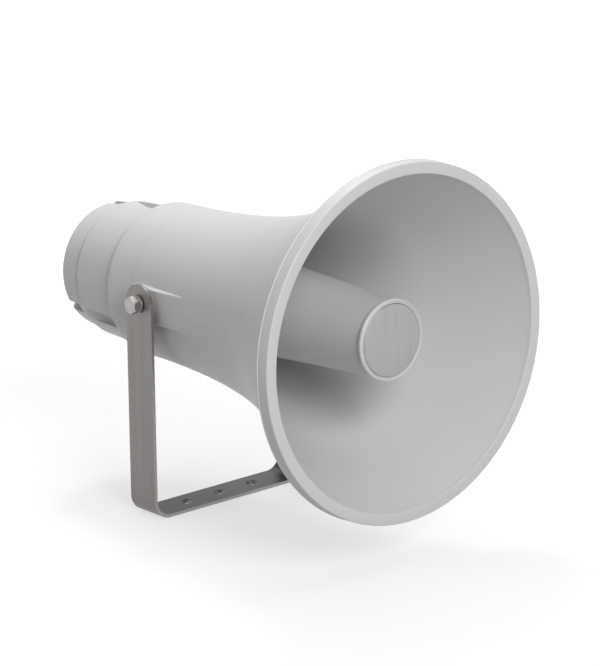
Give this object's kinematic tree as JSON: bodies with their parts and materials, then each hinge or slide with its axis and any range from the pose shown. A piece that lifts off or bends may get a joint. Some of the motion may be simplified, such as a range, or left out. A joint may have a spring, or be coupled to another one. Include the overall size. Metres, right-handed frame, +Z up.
{
  "type": "pa horn speaker",
  "caption": "Round folded plastic PA horn speaker with an inner bullet, rear driver housing and cable gland, tilting in a steel U bracket.",
  "frame": {"origin": "on the plane under the bracket's base, under the middle of the whole speaker's length and width", "axes": "the horn's axis along Y with the mouth towards -Y and the cable gland towards +Y, the pivot axis along X, +Z up away from the bracket's base"},
  "size_m": [0.28, 0.389, 0.3131],
  "materials": {
    "horn_plastic": "light warm grey, moulded satin",
    "inner_plastic": "black glass-filled, matt",
    "steel": "brushed stainless",
    "bolt_steel": "plain stainless",
    "brass": "turned",
    "aluminium": "brushed",
    "nylon": "natural, matt",
    "rubber": "black, soft",
    "ferrite": "ground, dark",
    "plated_iron": "zinc plated",
    "copper": "enamelled wire",
    "resin": "pressed phenolic"
  },
  "bodies": {
    "bracket": {"bracket": "steel"},
    "horn": {"horn_bell": "horn_plastic", "horn_collar": "horn_plastic", "bullet": "horn_plastic", "badge_disc": "aluminium", "bullet_screw_1": "bolt_steel", "bullet_screw_2": "bolt_steel", "bullet_screw_3": "bolt_steel", "throat_tube": "inner_plastic", "throat_screw_1": "bolt_steel", "throat_screw_2": "bolt_steel", "throat_screw_3": "bolt_steel", "throat_gasket": "rubber", "driver_front": "inner_plastic", "driver_screw_1": "bolt_steel", "driver_screw_2": "bolt_steel", "driver_screw_3": "bolt_steel", "motor_screw_1": "bolt_steel", "motor_screw_2": "bolt_steel", "motor_screw_3": "bolt_steel", "phase_plug": "resin", "diaphragm_ring": "inner_plastic", "pole_plate": "plated_iron", "magnet": "ferrite", "back_plate": "plated_iron", "transformer_frame": "plated_iron", "frame_screw_1": "bolt_steel", "frame_screw_2": "bolt_steel", "transformer_core": "plated_iron", "transformer_bobbin": "nylon", "transformer_winding": "copper", "terminal_block": "nylon", "terminal_screw_1": "brass", "terminal_screw_2": "brass", "terminal_screw_3": "brass", "terminal_screw_4": "brass", "driver_housing": "horn_plastic", "front_seal": "rubber", "rear_seal": "rubber", "back_cap": "horn_plastic", "housing_screw_1": "bolt_steel", "housing_screw_2": "bolt_steel", "housing_screw_3": "bolt_steel", "housing_insert_1": "brass", "housing_insert_2": "brass", "housing_insert_3": "brass", "gland_body": "horn_plastic", "gland_nut": "horn_plastic", "gland_locknut": "inner_plastic", "gland_seal": "rubber", "pad_insert_left": "brass", "pad_insert_right": "brass", "friction_washer_left": "nylon", "friction_washer_right": "nylon", "spring_washer_left": "bolt_steel", "spring_washer_right": "bolt_steel", "pivot_bolt_left": "bolt_steel", "pivot_bolt_right": "bolt_steel"},
    "diaphragm": {"diaphragm": "resin", "voice_coil": "copper"}
  },
  "joints": [
    {"name": "horn_tilt", "type": "hinge", "parent": "bracket", "child": "horn", "pos_m": [0, 0.03895, 0.177], "axis": [-1, 0, 0], "range_deg": [-48, 228]},
    {"name": "diaphragm_travel", "type": "slide", "parent": "horn", "child": "diaphragm", "axis": [0, -1, 0], "range_m": [-0.0004, 0.0004], "stiffness_N_per_m": 20000}
  ]
}
